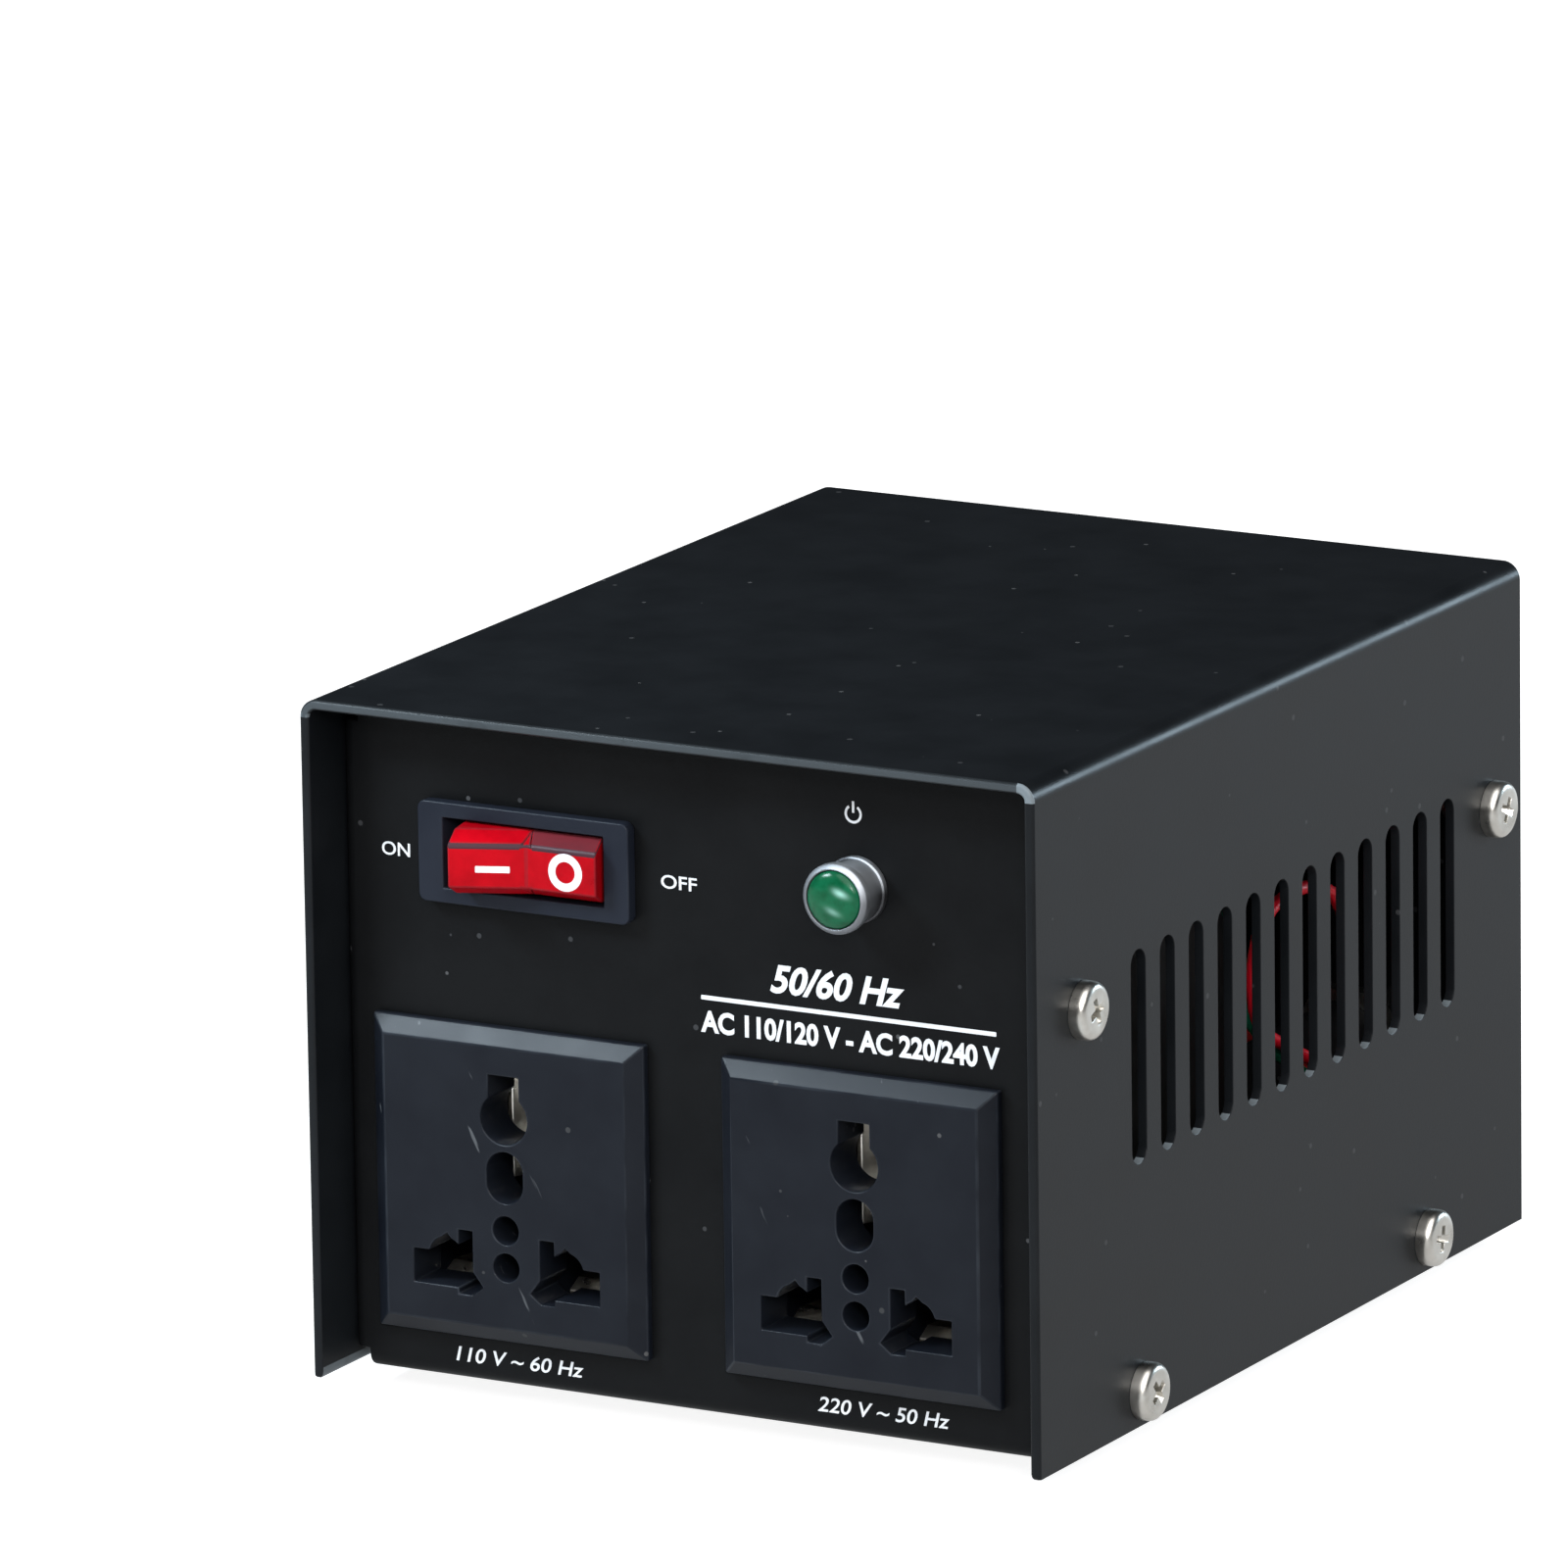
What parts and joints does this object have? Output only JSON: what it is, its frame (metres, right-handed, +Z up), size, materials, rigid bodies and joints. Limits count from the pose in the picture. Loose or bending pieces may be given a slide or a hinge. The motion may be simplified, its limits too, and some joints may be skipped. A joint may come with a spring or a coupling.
{
  "type": "step-up and step-down transformer",
  "caption": "Boxed step-up and step-down transformer with universal outlets, a rocker switch and a lamp in a recessed front panel and vent slots in the sides.",
  "frame": {"origin": "on the floor under the middle of the feet", "axes": "+X to the right as seen from the front, +Y from front to back, +Z up"},
  "size_m": [0.1168, 0.144, 0.099],
  "materials": {
    "case_coat": "fine black powder coat",
    "chassis_coat": "fine black powder coat",
    "screw_steel": "bright plated steel",
    "zinc_steel": "zinc plated steel",
    "foot_rubber": "black moulded rubber",
    "outlet_plastic": "fine spark-eroded dark blue-grey moulding",
    "cap_plastic": "black moulding",
    "inlet_plastic": "black moulding",
    "contact_brass": "rolled brass",
    "switch_plastic": "dark blue-grey moulding",
    "rocker_plastic": "polished translucent red",
    "lamp_chrome": "polished chrome",
    "lens_plastic": "polished translucent green",
    "bulb_glass": "clear glass",
    "lamination_steel": "varnished laminations",
    "strap_steel": "black varnished strap",
    "bobbin_plastic": "natural nylon",
    "winding_tape": "amber polyester tape",
    "tag_board": "phenolic board",
    "slider_plastic": "red moulding",
    "red_insulation": "wire insulation",
    "green_insulation": "wire insulation",
    "blue_insulation": "wire insulation",
    "brown_insulation": "wire insulation",
    "black_insulation": "wire insulation",
    "white_insulation": "wire insulation",
    "yellow_insulation": "wire insulation",
    "sleeve_plastic": "insulating sleeve"
  },
  "bodies": {
    "case": {"cover": "case_coat", "chassis": "chassis_coat", "cover_screws_right": "screw_steel", "cover_screws_left": "screw_steel", "rubber_feet": "foot_rubber", "foot_screws": "zinc_steel", "foot_nuts": "zinc_steel", "outlet_left_face": "outlet_plastic", "outlet_left_body": "outlet_plastic", "outlet_left_contacts": "contact_brass", "outlet_left_cap": "cap_plastic", "outlet_right_face": "outlet_plastic", "outlet_right_body": "outlet_plastic", "outlet_right_contacts": "contact_brass", "outlet_right_cap": "cap_plastic", "switch_housing": "switch_plastic", "switch_terminals": "contact_brass", "switch_neon": "bulb_glass", "lamp_bezel": "lamp_chrome", "lamp_lens": "lens_plastic", "lamp_nut": "zinc_steel", "lamp_bulb": "bulb_glass", "core_laminations": "lamination_steel", "core_strap": "strap_steel", "core_bolts": "zinc_steel", "core_nuts": "zinc_steel", "strap_screws": "zinc_steel", "strap_nuts": "zinc_steel", "bobbin": "bobbin_plastic", "primary_winding": "winding_tape", "secondary_winding": "winding_tape", "tag_strip": "tag_board", "inlet_body": "inlet_plastic", "inlet_pins": "zinc_steel", "inlet_screws": "zinc_steel", "inlet_nuts": "zinc_steel", "selector_body": "inlet_plastic", "selector_pins": "contact_brass", "selector_screws": "zinc_steel", "selector_nuts": "zinc_steel", "fuse_holder": "inlet_plastic", "fuse_link": "bulb_glass", "fuse_nut": "zinc_steel", "fuse_tabs": "contact_brass", "earth_screw": "zinc_steel", "earth_nut": "zinc_steel", "earth_lugs": "zinc_steel", "wire_red": "red_insulation", "wires_green": "green_insulation", "wires_blue": "blue_insulation", "wires_brown": "brown_insulation", "wire_black": "black_insulation", "wire_white": "white_insulation", "wires_yellow": "yellow_insulation", "lamp_leads": "red_insulation", "coil_leads": "white_insulation", "tab_sleeves": "sleeve_plastic"},
    "rocker": {"switch_rocker": "rocker_plastic"},
    "slider": {"selector_slider": "slider_plastic"},
    "fuse_cap": {"fuse_cap": "cap_plastic"}
  },
  "joints": [
    {"name": "switch_rocker", "type": "hinge", "parent": "case", "child": "rocker", "pos_m": [-0.0251, -0.05917, 0.0783], "axis": [0, 0, 1], "range_deg": [-22, 0]},
    {"name": "voltage_selector", "type": "slide", "parent": "case", "child": "slider", "axis": [1, 0, 0], "range_m": [0, 0.0036]},
    {"name": "fuse_cap_turn", "type": "hinge", "parent": "case", "child": "fuse_cap", "pos_m": [0.032, 0.068, 0.029], "axis": [0, 1, 0], "range_deg": [0, 60]}
  ]
}
